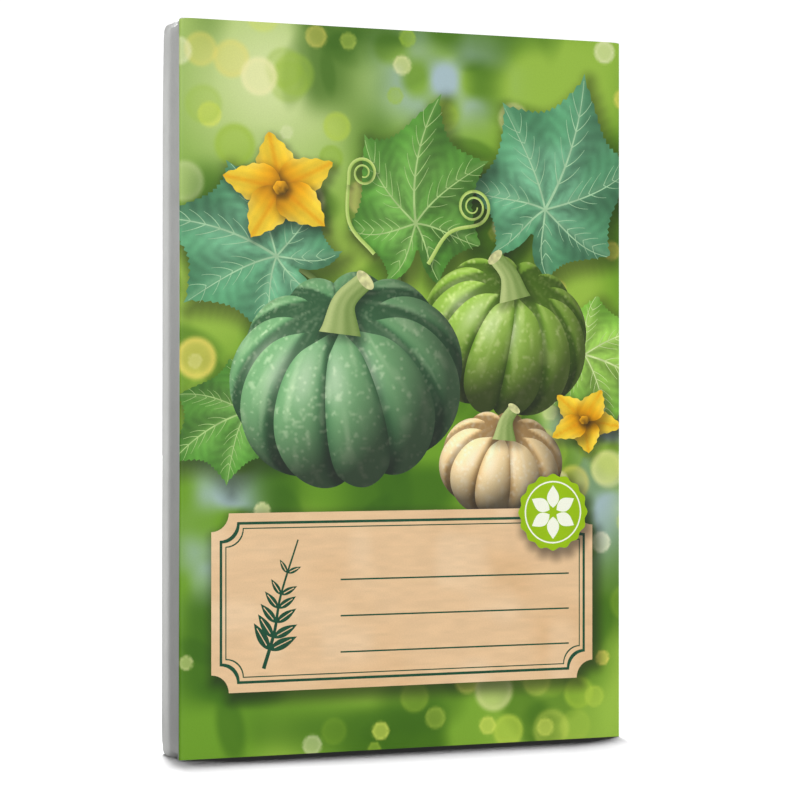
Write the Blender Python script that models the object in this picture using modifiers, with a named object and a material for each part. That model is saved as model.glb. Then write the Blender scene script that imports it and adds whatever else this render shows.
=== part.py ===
"""Seed packet: a slim folded carton of coated board that stands on its foot, with the seeds
loose inside.

The carton is one sheet. It starts at a glue flap in the back right corner and runs round the
right side, the front, the left side and the back, which laps over the glue flap. Lid and base
are hinged on the back, cover the dust flaps of the two sides and are tucked and glued behind
the front panel, whose cut edge stands a hair above the lid.

Metres, +Z up, front towards -Y, origin in the middle of the foot.
"""

import math
import random

import bmesh
import bpy
from mathutils import Matrix, Vector

# The carton
WIDTH = 0.1063
HEIGHT = 0.160
DEPTH = 0.012
BOARD = 0.0005  # thickness of the board
LIP = 0.0003  # how far the front panel stands above the lid
LAP_GAP = 0.00015  # between layers of board that lie on each other
SLIT = 0.0004  # beside a flap, where it is cut free from its neighbour

# Bends, measured at the middle of the board
CREASE = 0.0004  # the upright folds
DUST_CREASE = 0.00045
TUCK_CREASE = 0.0006
LID_BEND = 0.00275  # the lid rolls over from the back
BASE_BEND = 0.00275
CREASE_STEPS = 4
ROLL_STEPS = 6

# Flaps
GLUE_FLAP = 0.012
GLUE_FLAP_TAPER = 0.008
TUCK = 0.012
TUCK_CORNER = 0.004
LID_INSET = 0.0007  # from the packet's outer side to the lid's edge
DUST_FLAP = 0.014
DUST_TAPER = 0.001
DUST_FRONT = -0.0042
DUST_BACK = 0.0030
LIP_CORNER = 0.0008  # how far the front panel's upper corners drop round the upright folds
SHOULDER_DROP = 0.001  # the strips of side wall behind those corners end this far below the top
WALL_CORNER = 0.0015  # lower and upper rear corners of the side walls

# Glue lines
GLUE_FILM = 0.0001
GLUE_WIDTH = 0.005
SEAM_GLUE_X = 0.047
SEAM_GLUE_END = 0.018  # from the foot and from the top
TUCK_GLUE_HALF = 0.044
TUCK_GLUE_HEIGHT = 0.008  # from the lid or the base to the middle of the line

# Seeds
SEED_COLUMNS = 5
SEED_PITCH = 0.0137
SEED_ROWS = (-0.0022, 0.0022)  # one row behind the front, one before the back
SEED_LENGTH = 0.012
SEED_WIDTH = 0.008
SEED_THICK = 0.0025
SEED_TAPER = 0.18  # how much narrower the tip is than the middle
SEED_SWING = math.radians(5)
SEED_CLEARANCE = 0.0003

# Middle planes of the board
SIDE_X = WIDTH / 2 - BOARD / 2
FRONT_Y = -DEPTH / 2 + BOARD / 2
BACK_Y = DEPTH / 2 - BOARD / 2
LAP_Y = BACK_Y - BOARD - LAP_GAP
TUCK_Y = FRONT_Y + BOARD + LAP_GAP
LID_Z = HEIGHT - LIP - BOARD / 2
BASE_Z = BOARD / 2
LID_DUST_Z = LID_Z - BOARD - LAP_GAP
BASE_DUST_Z = BASE_Z + BOARD + LAP_GAP

# Where the flat panels end and the bends begin
FLAT_X = SIDE_X - CREASE
LID_X = WIDTH / 2 - LID_INSET
BACK_TOP = LID_Z - LID_BEND
BACK_FOOT = BASE_Z + BASE_BEND
SIDE_TOP = LID_DUST_Z - DUST_CREASE
SIDE_FOOT = BASE_DUST_Z + DUST_CREASE
SHOULDER = HEIGHT - SHOULDER_DROP
SHOULDER_Y = DUST_FRONT - SLIT

TINY = 1e-6
UPRIGHT = Vector((0, 0, 1))
QUARTER = math.pi / 2


def clear_scene():
    for obj in list(bpy.data.objects):
        bpy.data.objects.remove(obj, do_unlink=True)


def make_material(name, colour, roughness):
    """A material with a plain Principled BSDF, none of whose sockets is metallic."""
    material = bpy.data.materials.new(name)
    material.use_nodes = True
    shader = material.node_tree.nodes["Principled BSDF"]
    shader.inputs["Base Color"].default_value = (*colour, 1)
    shader.inputs["Roughness"].default_value = roughness
    shader.inputs["Metallic"].default_value = 0
    return material


def add_object(name, data, material, collection):
    obj = bpy.data.objects.new(name, data)
    data.materials.append(material)
    collection.objects.link(obj)
    return obj


def extend(bm, edges, step):
    """Extrudes a row of edges by a vector and returns the row at the far end."""
    made = bmesh.ops.extrude_edge_only(bm, edges=edges)["geom"]
    points = {item for item in made if isinstance(item, bmesh.types.BMVert)}
    bmesh.ops.translate(bm, verts=list(points), vec=step)
    return [item for item in made if isinstance(item, bmesh.types.BMEdge) and points.issuperset(item.verts)]


def fold(bm, edges, hinge, axis, angle, steps=CREASE_STEPS):
    """Spins a row of edges about a hinge line and returns the row at the far end."""
    points = {vert for edge in edges for vert in edge.verts}
    made = bmesh.ops.spin(
        bm, geom=[*points, *edges], cent=hinge, axis=axis, angle=angle, steps=steps, use_duplicate=False
    )["geom_last"]
    return [item for item in made if isinstance(item, bmesh.types.BMEdge)]


def edges_between(bm, low, high):
    """The edges with both ends in the box from low to high."""
    return [
        edge
        for edge in bm.edges
        if all(low[i] - TINY <= vert.co[i] <= high[i] + TINY for vert in edge.verts for i in range(3))
    ]


def vertex_at(bm, place):
    return min(bm.verts, key=lambda vert: (vert.co - Vector(place)).length)


def round_corner(bm, place, radius, steps=4):
    """Rounds a free corner of the sheet."""
    bmesh.ops.bevel(
        bm, geom=[vertex_at(bm, place)], offset=radius, segments=steps, profile=0.5, affect="VERTICES"
    )


def reach(x, y):
    """Lowest and highest edge of the wall that stands over a point of the plan."""
    if y < FRONT_Y + CREASE:
        return 0, HEIGHT
    if y < SHOULDER_Y:
        return 0, SHOULDER
    if abs(x) > SIDE_X - TINY:
        return SIDE_FOOT, SIDE_TOP
    return BACK_FOOT, BACK_TOP


def raise_walls(bm):
    """Sweeps an upright line round the plan, from the glue flap's end to the back's free edge."""
    levels = [0, SIDE_FOOT, BACK_FOOT, BACK_TOP, SIDE_TOP, SHOULDER, HEIGHT]
    points = [bm.verts.new((FLAT_X - GLUE_FLAP, LAP_Y, level)) for level in levels]
    row = [bm.edges.new(pair) for pair in zip(points, points[1:])]

    row = extend(bm, row, (GLUE_FLAP, 0, 0))
    row = fold(bm, row, (FLAT_X, LAP_Y - CREASE, 0), UPRIGHT, -QUARTER)
    stops = [LAP_Y - CREASE, DUST_BACK, DUST_FRONT, SHOULDER_Y, FRONT_Y + CREASE]
    for start, end in zip(stops, stops[1:]):
        row = extend(bm, row, (0, end - start, 0))
    row = fold(bm, row, (FLAT_X, FRONT_Y + CREASE, 0), UPRIGHT, -QUARTER)

    row = extend(bm, row, (-2 * FLAT_X, 0, 0))
    row = fold(bm, row, (-FLAT_X, FRONT_Y + CREASE, 0), UPRIGHT, -QUARTER)
    stops = [FRONT_Y + CREASE, SHOULDER_Y, DUST_FRONT, DUST_BACK, BACK_Y - CREASE]
    for start, end in zip(stops, stops[1:]):
        row = extend(bm, row, (0, end - start, 0))
    row = fold(bm, row, (-FLAT_X, BACK_Y - CREASE, 0), UPRIGHT, -QUARTER)

    stops = [-FLAT_X, -LID_X, LID_X, SIDE_X]
    for start, end in zip(stops, stops[1:]):
        row = extend(bm, row, (end - start, 0, 0))


def cut_walls(bm):
    """Cuts the walls down to their own heights, and slants the ends of the glue flap."""
    spare = []
    for face in bm.faces:
        centre = face.calc_center_median()
        low, high = reach(centre.x, centre.y)
        if not low < centre.z < high:
            spare.append(face)
    bmesh.ops.delete(bm, geom=spare, context="FACES")
    flap_end = FLAT_X - GLUE_FLAP
    vertex_at(bm, (flap_end, LAP_Y, BACK_TOP)).co.z -= GLUE_FLAP_TAPER
    vertex_at(bm, (flap_end, LAP_Y, BACK_FOOT)).co.z += GLUE_FLAP_TAPER
    for level in (SIDE_FOOT, SIDE_TOP):
        round_corner(bm, (-SIDE_X, BACK_Y - CREASE, level), WALL_CORNER)
        round_corner(bm, (SIDE_X, LAP_Y - CREASE, level), WALL_CORNER)


def round_lip(bm):
    """Rounds the front panel's two upper corners, which lie in the upright folds."""
    for vert in bm.verts:
        if vert.co.z > HEIGHT - TINY and abs(vert.co.x) > FLAT_X:
            turn = math.asin(min((abs(vert.co.x) - FLAT_X) / CREASE, 1)) / QUARTER
            vert.co.z -= LIP_CORNER * (1 - math.sqrt(1 - turn * turn))


def add_dust_flap(bm, side, level, way):
    """Folds a flap in from the side wall. way is 1 at the top and -1 at the foot."""
    hinge = edges_between(bm, (side * SIDE_X, DUST_FRONT, level), (side * SIDE_X, DUST_BACK, level))
    axis = (0, -side * way, 0)
    row = fold(bm, hinge, (side * (SIDE_X - DUST_CREASE), 0, level), axis, QUARTER)
    row = extend(bm, row, (-side * DUST_FLAP, 0, 0))
    ends = sorted({vert for edge in row for vert in edge.verts}, key=lambda vert: vert.co.y)
    ends[0].co.y += DUST_TAPER
    ends[-1].co.y -= DUST_TAPER


def add_cover(bm, level, bend, way):
    """Rolls the lid or the base over from the back and tucks it behind the front panel."""
    hinge = edges_between(bm, (-LID_X, BACK_Y, level), (LID_X, BACK_Y, level))
    axis = (way, 0, 0)
    row = fold(bm, hinge, (0, BACK_Y - bend, level), axis, QUARTER, ROLL_STEPS)
    row = extend(bm, row, (0, TUCK_Y + TUCK_CREASE - (BACK_Y - bend), 0))
    tuck_level = level + way * (bend - TUCK_CREASE)
    row = fold(bm, row, (0, TUCK_Y + TUCK_CREASE, tuck_level), axis, QUARTER)
    extend(bm, row, (0, 0, -way * TUCK))
    for side in (-1, 1):
        round_corner(bm, (side * LID_X, TUCK_Y, tuck_level - way * TUCK), TUCK_CORNER)


def make_board(material, collection):
    bm = bmesh.new()
    raise_walls(bm)
    cut_walls(bm)
    round_lip(bm)
    for side in (-1, 1):
        add_dust_flap(bm, side, SIDE_TOP, 1)
        add_dust_flap(bm, side, SIDE_FOOT, -1)
    add_cover(bm, BACK_TOP, LID_BEND, 1)
    add_cover(bm, BACK_FOOT, BASE_BEND, -1)
    bmesh.ops.recalc_face_normals(bm, faces=bm.faces)
    mesh = bpy.data.meshes.new("packet_board")
    bm.to_mesh(mesh)
    bm.free()
    board = add_object("packet_board", mesh, material, collection)
    thickness = board.modifiers.new("Board", "SOLIDIFY")
    thickness.thickness = BOARD
    thickness.offset = 0
    thickness.use_even_offset = True
    return board


def make_glue_line(name, length, material, collection):
    """A flat line of dried glue along X with round ends, its thickness along Z."""
    curve = bpy.data.curves.new(name, "CURVE")
    curve.dimensions = "2D"
    curve.fill_mode = "BOTH"
    curve.extrude = GLUE_FILM / 2
    steps = 6
    radius = GLUE_WIDTH / 2
    outline = []
    for side in (1, -1):
        for i in range(steps + 1):
            angle = math.pi * i / steps - side * QUARTER
            middle = side * (length / 2 - radius)
            outline.append((middle + radius * math.cos(angle), radius * math.sin(angle)))
    spline = curve.splines.new("POLY")
    spline.points.add(len(outline) - 1)
    for point, (x, y) in zip(spline.points, outline):
        point.co = (x, y, 0, 1)
    spline.use_cyclic_u = True
    return add_object(name, curve, material, collection)


def make_glue_lines(material, collection):
    """One upright line in the back seam and one across behind each tuck."""
    seam = make_glue_line("side_seam_glue", HEIGHT - 2 * SEAM_GLUE_END, material, collection)
    seam.rotation_euler = (QUARTER, -QUARTER, 0)
    seam.location = (SEAM_GLUE_X, (LAP_Y + BACK_Y) / 2, HEIGHT / 2)
    tucks = {
        "top_flap_glue": LID_Z - TUCK_GLUE_HEIGHT,
        "bottom_flap_glue": BASE_Z + TUCK_GLUE_HEIGHT,
    }
    for name, height in tucks.items():
        line = make_glue_line(name, 2 * TUCK_GLUE_HALF, material, collection)
        line.rotation_euler = (QUARTER, 0, 0)
        line.location = (0, (FRONT_Y + TUCK_Y) / 2, height)


def seed_point(point):
    """Turns a point of the unit ball into one of a flat seed: an oval in XZ, thin along Y."""
    belly = abs(point.y)
    swell = belly * belly * (3 - 2 * belly)  # smooth, so that a thin margin runs round the belly
    return Vector((
        SEED_LENGTH / 2 * point.x,
        math.copysign(SEED_THICK / 2 * swell, point.y),
        SEED_WIDTH / 2 * point.z * (1 - SEED_TAPER * point.x),
    ))


def make_seed_mesh(material):
    bm = bmesh.new()
    bmesh.ops.create_uvsphere(
        bm, u_segments=18, v_segments=10, radius=1, matrix=Matrix.Rotation(QUARTER, 4, "X")
    )
    for vert in bm.verts:
        vert.co = seed_point(vert.co)
    mesh = bpy.data.meshes.new("seed")
    bm.to_mesh(mesh)
    bm.free()
    mesh.materials.append(material)
    mesh.shade_smooth()
    return mesh


def make_seeds(material, collection):
    """Seeds side by side on the carton's floor, each turned its own way about its flat axis."""
    draw = random.Random(7)
    mesh = make_seed_mesh(material)
    floor = BASE_Z + BOARD / 2
    for row, depth in enumerate(SEED_ROWS):
        for column in range(SEED_COLUMNS):
            number = row * SEED_COLUMNS + column + 1
            turn = Matrix.Rotation(draw.uniform(0, math.tau), 4, "Y")
            swing = Matrix.Rotation(draw.uniform(-SEED_SWING, SEED_SWING), 4, "Z")
            attitude = swing @ turn
            lowest = min((attitude @ vert.co).z for vert in mesh.vertices)
            x = (column - (SEED_COLUMNS - 1) / 2) * SEED_PITCH
            place = Matrix.Translation((x, depth, floor + SEED_CLEARANCE - lowest))
            seed = bpy.data.objects.new(f"seed_{number:02d}", mesh)
            seed.matrix_world = place @ attitude
            collection.objects.link(seed)


def main():
    clear_scene()
    packet = bpy.data.collections.new("seed_packet")
    bpy.context.scene.collection.children.link(packet)
    make_board(make_material("coated folding boxboard", (0.86, 0.86, 0.84), 0.5), packet)
    make_glue_lines(make_material("dried dispersion glue", (0.80, 0.76, 0.62), 0.35), packet)
    make_seeds(make_material("dry seed coat", (0.022, 0.017, 0.013), 0.7), packet)


main()
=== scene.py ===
import math

import bpy
import numpy as np
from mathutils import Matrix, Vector
from mathutils.geometry import convex_hull_2d, delaunay_2d_cdt


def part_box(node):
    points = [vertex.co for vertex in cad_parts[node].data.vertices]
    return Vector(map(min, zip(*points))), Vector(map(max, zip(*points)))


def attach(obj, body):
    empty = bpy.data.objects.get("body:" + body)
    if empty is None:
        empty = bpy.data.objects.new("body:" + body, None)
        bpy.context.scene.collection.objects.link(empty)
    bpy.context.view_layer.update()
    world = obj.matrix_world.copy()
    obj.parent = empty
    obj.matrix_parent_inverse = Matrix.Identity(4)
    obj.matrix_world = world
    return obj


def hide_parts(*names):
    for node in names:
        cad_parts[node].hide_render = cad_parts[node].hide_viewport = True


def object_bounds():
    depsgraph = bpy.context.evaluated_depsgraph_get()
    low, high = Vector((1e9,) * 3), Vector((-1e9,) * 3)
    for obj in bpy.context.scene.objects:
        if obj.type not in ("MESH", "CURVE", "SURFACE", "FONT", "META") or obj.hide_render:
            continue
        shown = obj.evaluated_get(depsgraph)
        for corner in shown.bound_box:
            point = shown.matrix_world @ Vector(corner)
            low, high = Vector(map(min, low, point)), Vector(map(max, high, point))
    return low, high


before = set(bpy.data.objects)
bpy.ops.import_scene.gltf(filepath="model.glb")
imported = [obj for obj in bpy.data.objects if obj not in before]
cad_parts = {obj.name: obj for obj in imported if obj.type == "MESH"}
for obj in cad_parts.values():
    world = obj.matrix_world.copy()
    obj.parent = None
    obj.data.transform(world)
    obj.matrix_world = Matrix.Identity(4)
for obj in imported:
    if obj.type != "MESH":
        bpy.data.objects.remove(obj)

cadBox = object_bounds()
mm = 0.001
boardLow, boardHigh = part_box("packet_board")
frontFace = boardLow.y          # the outer faces of front and back
backFace = boardHigh.y
packetTop = boardHigh.z
sideFace = boardHigh.x
print("frame loaded")


# colours and materials

def hexColour(code):
    return np.array([int(code[i:i + 2], 16) for i in (0, 2, 4)]) / 255


def toLinear(srgb):
    srgb = np.asarray(srgb, float)
    return np.where(srgb <= 0.04045, srgb / 12.92, ((srgb + 0.055) / 1.055) ** 2.4)


def addNode(tree, kind, settings=None, links=None, feeds=None):
    # links lead to its inputs from other nodes' outputs, feeds from its outputs to their inputs
    node = tree.nodes.new(kind)
    for name, value in (settings or {}).items():
        if name == "stops":
            for element, (place, code) in zip(node.color_ramp.elements, value):
                element.position, element.color = place, (*toLinear(hexColour(code)), 1.0)
        elif isinstance(name, str) and hasattr(node, name):
            setattr(node, name, value)
        else:
            node.inputs[name].default_value = value
    for name, source in (links or {}).items():
        tree.links.new(source, node.inputs[name])
    for name, target in (feeds or {}).items():
        tree.links.new(node.outputs[name], target)
    return node


# a finish has the shader's own settings and its patterns, each with a kind, a size in mm, detail and
# roughness. The first pattern mixes the tones, together with a share of the last one where "fine" is
# given, and "spread" lets it vary the roughness. The last one gives the relief: strength, depth in mm
finishes = {
    # a smooth white that dulls the light, with clouds of uneven coating, and fibres drawn coarser
    # than the real 0.05 mm, so that they show
    "board": {
        "name": "clay-coated folding boxboard", "settings": {"Roughness": 0.55, "IOR": 1.5},
        "patterns": [("Noise", 9.0, 3.0, 0.6), ("Noise", 0.45, 2.0, 0.5)],
        "tones": [(0.35, "D3D4D1"), (0.62, "DEDFDC")], "fine": 0.3, "spread": 0.05, "bump": (0.08, 0.05)},
    # where the board is cut its core shows, grey and rough with short fibres
    "core": {
        "name": "cut edge of grey pulp board", "settings": {"Roughness": 0.85, "IOR": 1.5},
        "patterns": [("Noise", 0.25, 4.0, 0.7)],
        "tones": [(0.3, "A9A59A"), (0.7, "CFCBC1")], "bump": (0.5, 0.08)},
    # full colour with a low, even sheen, as a matt varnish mirrors less than bare plastic. It swells
    # slowly with the board, and its grain is drawn coarser than a 0.15 mm screen, so that it shows
    "print": {
        "name": "varnished offset print",
        "settings": {"Roughness": 0.5, "IOR": 1.47, "Specular IOR Level": 0.2},
        "patterns": [("Noise", 14.0, 2.0, 0.5), ("Noise", 0.30, 1.0, 0.4)],
        "spread": 0.04, "bump": (0.10, 0.02)},
    # yellowish and half clear, thicker in places, with fine bubbles
    "glue": {
        "name": "dried dispersion glue",
        "settings": {"Roughness": 0.32, "IOR": 1.47, "Subsurface Weight": 0.2, "Subsurface Scale": 0.3 * mm},
        "patterns": [("Noise", 1.6, 3.0, 0.6), ("Voronoi", 0.25, 0.0, 0.5)],
        "tones": [(0.3, "CDBE8C"), (0.7, "E6DDB8")], "bump": (0.3, 0.05)},
    # near black, matt and finely pitted, with patches of a paler dusty bloom
    "seed": {
        "name": "dry seed coat", "settings": {"Roughness": 0.62, "IOR": 1.45},
        "patterns": [("Noise", 2.2, 4.0, 0.65), ("Voronoi", 0.35, 0.0, 0.5)],
        "tones": [(0.35, "1D1914"), (0.75, "3A332A")], "bump": (0.6, 0.06)},
    # a white that mirrors nothing, with a faint grain
    "table": {
        "name": "white matt card", "settings": {"Roughness": 1.0, "Specular IOR Level": 0.0},
        "patterns": [("Noise", 5 / 3, 2.0, 0.5)], "tones": [(0.3, "FDFDFD"), (0.7, "FFFFFF")]},
}
inkGrain = 0.035        # how much the varnish's grain lightens and darkens the ink


def makeMaterial(name, settings, patterns, tones=None, fine=0, spread=0, bump=None):
    material = bpy.data.materials.new(name)
    material.use_nodes = True
    tree = material.node_tree
    shader = tree.nodes["Principled BSDF"].inputs
    for socket, value in settings.items():
        shader[socket].default_value = value
    place = addNode(tree, "ShaderNodeTexCoord").outputs["Object"]
    made = [addNode(tree, "ShaderNodeTex" + kind, {
        "Scale": 1 / (size * mm), "Detail": detail, "Roughness": rough}, {"Vector": place}).outputs[0]
        for kind, size, detail, rough in patterns]
    factor = made[0]
    if fine:
        small = addNode(tree, "ShaderNodeMath", {"operation": "MULTIPLY", 1: fine}, {0: made[-1]})
        factor = addNode(tree, "ShaderNodeMath", {"operation": "MULTIPLY_ADD", 1: 1 - fine}, {
            0: factor, 2: small.outputs[0]}).outputs[0]
    if tones:
        addNode(tree, "ShaderNodeValToRGB", {"stops": tones}, {"Fac": factor}, {
            "Color": shader["Base Color"]})
    else:
        # the colours are the piece's own ink
        ink = addNode(tree, "ShaderNodeAttribute", {"attribute_type": "GEOMETRY", "attribute_name": "ink"})
        gain = addNode(tree, "ShaderNodeMapRange", {
            "To Min": 1 - inkGrain, "To Max": 1 + inkGrain, "From Min": 0.25, "From Max": 0.75}, {
            "Value": made[-1]})
        addNode(tree, "ShaderNodeVectorMath", {"operation": "SCALE"}, {
            0: ink.outputs["Color"], "Scale": gain.outputs["Result"]}, {"Vector": shader["Base Color"]})
    if spread:
        middle = settings["Roughness"]
        addNode(tree, "ShaderNodeMapRange", {"To Min": middle - spread, "To Max": middle + spread}, {
            "Value": made[0]}, {"Result": shader["Roughness"]})
    if bump:
        addNode(tree, "ShaderNodeBump", {"Strength": bump[0], "Distance": bump[1] * mm}, {
            "Height": made[-1]}, {"Normal": shader["Normal"]})
    return material


# the carton's board, a finer copy of the folded sheet whose side walls bow out a little

carton = {
    "weld": 0.001 * mm,
    "board": 0.5 * mm,       # its thickness
    "slack": 0.05 * mm,      # allowed for where a face is picked by its depth
    "flatEnd": 0.6 * mm,     # the side walls are flat but for this much at front and back
    "bow": 0.235 * mm,       # how much the side walls swell, flat in front and round at the back
    "bowEnds": 16.0 * mm,    # the swelling fades out over this at the foot and at the top
    "bowTop": 2.5 * mm,      # and this far below the top it is gone
    # the left wall's rear fold stands out too: height and how far, in mm
    "rearBow": [(0, 0.30), (3, 0.42), (7, 0.50), (14, 0.46), (44, 0.46), (77, 0.32), (121, 0.29),
                (143, 0.24), (151, 0.10), (157, 0.0)],
    "fold": 0.65 * mm,       # outer radius of the upright folds
    # the side walls are cut level at these heights in mm, and their flat upright this many times
    "rows": [3.4, 5, 7, 10, 14, 20, 30, 42, 56, 70, 84, 98, 112, 124, 134, 142, 148, 152, 156.2],
    "columns": 9,
    "columnsEnd": 0.7 * mm,  # from front and back
    "lip": 0.3 * mm,         # the lid lies this far below the front's top edge
    "coverBend": 3.0 * mm,   # outer radius with which lid and base roll over from the back
    "tuckStart": 4.5 * mm,   # in front of the middle, where they turn down behind the front
    # the side edges of lid and base are crushed against the folds beside them. All in mm: how far
    # from the side face the flat board is cut and where that line goes, then how far its outer
    # face sinks on the lid and on the base, and how far its inner face does. The last line is the
    # board's own edge, and is there without a cut
    "pressed": [(1.15, 1.13, 0.0, 0.0, 0.0), (1.00, 0.72, 0.05, 0.0, 0.03),
                (0.85, 0.40, 0.17, 0.0, 0.20), (0.77, 0.16, 0.38, 0.03, 0.50),
                (0.70, 0.02, 0.75, 0.10, 0.85)],
    "lidRoll": 0.35,         # share of the sinking that the lid's roll takes; the base's takes none
    "smooth": math.radians(32),
}
hair = 0.01 * mm             # for comparing places


def newPiece(name, mesh):
    # it alone is selected and active
    piece = bpy.data.objects.new(name, mesh)
    bpy.context.scene.collection.objects.link(piece)
    for obj in bpy.context.selected_objects:
        obj.select_set(False)
    piece.select_set(True)
    bpy.context.view_layer.objects.active = piece
    return piece


def selectFaces(piece, wanted):
    # run in object mode; the selection is there when edit mode starts
    mesh = piece.data
    for polygon in mesh.polygons:
        polygon.select = wanted(polygon.center, polygon.normal)
    for part in (*mesh.edges, *mesh.vertices):
        part.select = False
    for polygon in mesh.polygons:
        if polygon.select:
            for index in polygon.vertices:
                mesh.vertices[index].select = True


def isSide(centre, normal):
    # a side wall with the folds at its two ends
    return abs(normal.z) < 0.1 and abs(centre.x) > sideFace - carton["fold"]


def isFlatSide(centre, normal):
    return abs(normal.x) > 0.99 and isSide(centre, normal) and abs(centre.y) < backFace - carton["flatEnd"]


def underCover(z):
    # how far a point lies below the lid's top or above the foot, whichever is less
    return min(z, packetTop - carton["lip"] - z)


def isCover(centre, normal):
    # both faces of lid and base, with the roll to the back
    if abs(normal.x) > 0.01 or centre.y < -carton["tuckStart"]:
        return False
    depth, bend = underCover(centre.z), carton["coverBend"]
    return depth < carton["board"] + carton["slack"] or centre.y > backFace - bend and depth < bend


def editAll(operator, **settings):
    bpy.ops.object.mode_set(mode="EDIT")
    bpy.ops.mesh.select_all(action="SELECT")
    operator(**settings)
    bpy.ops.object.mode_set(mode="OBJECT")


def editFaces(piece, wanted, *steps):
    selectFaces(piece, wanted)
    bpy.ops.object.mode_set(mode="EDIT")
    bpy.ops.mesh.select_mode(type="FACE")
    for step in steps:
        step()
    bpy.ops.object.mode_set(mode="OBJECT")


def cutWhere(piece, wanted, places, axis):
    normal = Vector([float(k == axis) for k in range(3)])
    for place in places:
        editFaces(piece, wanted, lambda: bpy.ops.mesh.bisect(plane_co=normal * place, plane_no=normal))


def fade(value):
    value = min(max(value, 0.0), 1.0)
    return value * value * (3 - 2 * value)


def bowOut(piece):
    # the side walls swell towards the back, and take the left rear fold along
    fold, half = carton["fold"], backFace - carton["fold"]
    for vertex in piece.data.vertices:
        x, y, z = vertex.co
        if abs(x) < sideFace - fold + carton["weld"]:
            continue
        share = (min(max(y / half, -1.0), 1.0) + 1) / 2
        out = carton["bow"] * (share - max(2 * share - 1, 0.0) ** 2)
        out *= fade(z / carton["bowEnds"]) * fade((packetTop - carton["bowTop"] - z) / carton["bowEnds"])
        if x < 0:
            rest = 1.0 if y < half else math.atan2(abs(x) - sideFace + fold, y - half) / (math.pi / 2)
            out += float(np.interp(z / mm, *zip(*carton["rearBow"]))) * mm * share * rest
        vertex.co.x += math.copysign(out, x)


def closeCovers(piece):
    # lid and base reach out to the side walls, so that no gap shows beside them
    bend, board, slack, fold = (carton[key] for key in ("coverBend", "board", "slack", "fold"))
    hinge = backFace - bend
    places = [row[0] for row in carton["pressed"]]
    for vertex in piece.data.vertices:
        x, y, z = vertex.co
        depth = underCover(z)
        flat = -carton["tuckStart"] - hair < y < hinge + hair and depth < board + slack
        rolled = y > hinge + hair and depth < bend - slack
        inside = (sideFace - abs(x)) / mm
        if not (flat or rolled) or not min(places) - 0.1 < inside < max(places) + 0.05:
            continue
        _, place, lidSink, baseSink, innerSink = min(carton["pressed"], key=lambda row: abs(row[0] - inside))
        share = max(hinge - y, 0) / (hinge + carton["tuckStart"])
        lidShare = carton["lidRoll"] + (1 - carton["lidRoll"]) * share
        outerSink = lidSink * lidShare if z > packetTop / 2 else baseSink * share
        past = min(max(y - backFace + fold, 0.0), fold)     # the edge keeps inside the fold's rounding
        place = max(place, (fold - math.sqrt(fold ** 2 - past ** 2)) / mm)
        away = Vector((0, 0, 1)) if flat else Vector((0, y - hinge, bend - depth)).normalized()
        outer = depth < board / 2 if flat else math.hypot(y - hinge, bend - depth) > bend - board / 2
        if z < packetTop / 2:
            away.z = -away.z
        vertex.co -= away * (outerSink if outer else innerSink) * mm
        vertex.co.x = math.copysign(sideFace - place * mm, x)


def isCoverEnd(centre, normal):
    # the crushed side edges of lid and base
    return abs(normal.x) > 0.95 and hair < sideFace - abs(centre.x) < 0.2 * mm


def makeCarton(board, core):
    piece = newPiece("carton_board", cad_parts["packet_board"].data.copy())
    bpy.ops.mesh.customdata_custom_splitnormals_clear()
    bpy.ops.object.mode_set(mode="EDIT")
    bpy.ops.mesh.select_all(action="SELECT")
    bpy.ops.mesh.remove_doubles(threshold=carton["weld"])
    bpy.ops.mesh.dissolve_limited(angle_limit=math.radians(0.5))
    bpy.ops.object.mode_set(mode="OBJECT")
    rows = [row * mm for row in carton["rows"]]
    half = backFace - carton["columnsEnd"]
    columns = np.linspace(-half, half, carton["columns"] + 2)[1:-1]
    cutWhere(piece, isSide, rows, 2)
    cutWhere(piece, isFlatSide, columns, 1)
    cuts = [side * (sideFace - row[0] * mm) for row in carton["pressed"][:-1] for side in (-1, 1)]
    cutWhere(piece, isCover, cuts, 0)
    closeCovers(piece)
    piece.data.update()
    editFaces(piece, isCoverEnd, bpy.ops.mesh.region_to_loop, bpy.ops.mesh.mark_sharp)
    bowOut(piece)
    editAll(bpy.ops.mesh.quads_convert_to_tris)
    piece.data.materials.clear()
    piece.data.materials.append(board)
    piece.data.materials.append(core)
    # the cut edges that show: on top of the front and at the back's free end
    for polygon in piece.data.polygons:
        centre, normal = polygon.center, polygon.normal
        lip = normal.z > 0.9 and centre.z > packetTop - 0.1 * mm
        seam = normal.x > 0.9 and centre.x > sideFace - 0.3 * mm and (
            centre.y > backFace - carton["board"] - carton["slack"])
        polygon.material_index = 1 if lip or seam else 0
    bpy.ops.object.shade_smooth_by_angle(angle=carton["smooth"])
    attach(piece, "root")
    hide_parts("packet_board")


# drawing, in millimetres on the flat print, x from the middle and z up from the foot

def blend(colour, other, share):
    # each is a hex code, one colour or a colour for each point
    colour, other = (hexColour(tone) if isinstance(tone, str) else tone for tone in (colour, other))
    return colour + (other - colour) * share[:, None]


def ease(low, high, value):
    part = np.clip((value - low) / (high - low), 0, 1)
    return part * part * (3 - 2 * part)


def cloud(points, size, seed):
    # soft random patches about this many mm wide, from 0 to 1
    table = np.random.default_rng(seed).random((64, 64))
    grid = points / size + 7.3 * seed
    cell = np.floor(grid).astype(int)
    part = grid - cell
    part = part * part * (3 - 2 * part)
    x, z = cell[:, 0] % 64, cell[:, 1] % 64
    right, up = (x + 1) % 64, (z + 1) % 64
    low = table[x, z] * (1 - part[:, 0]) + table[right, z] * part[:, 0]
    high = table[x, up] * (1 - part[:, 0]) + table[right, up] * part[:, 0]
    return low * (1 - part[:, 1]) + high * part[:, 1]


def turned(points, angle):
    c, s = np.cos(angle), np.sin(angle)
    x, z = points.T
    return np.c_[x * c - z * s, x * s + z * c]


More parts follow.
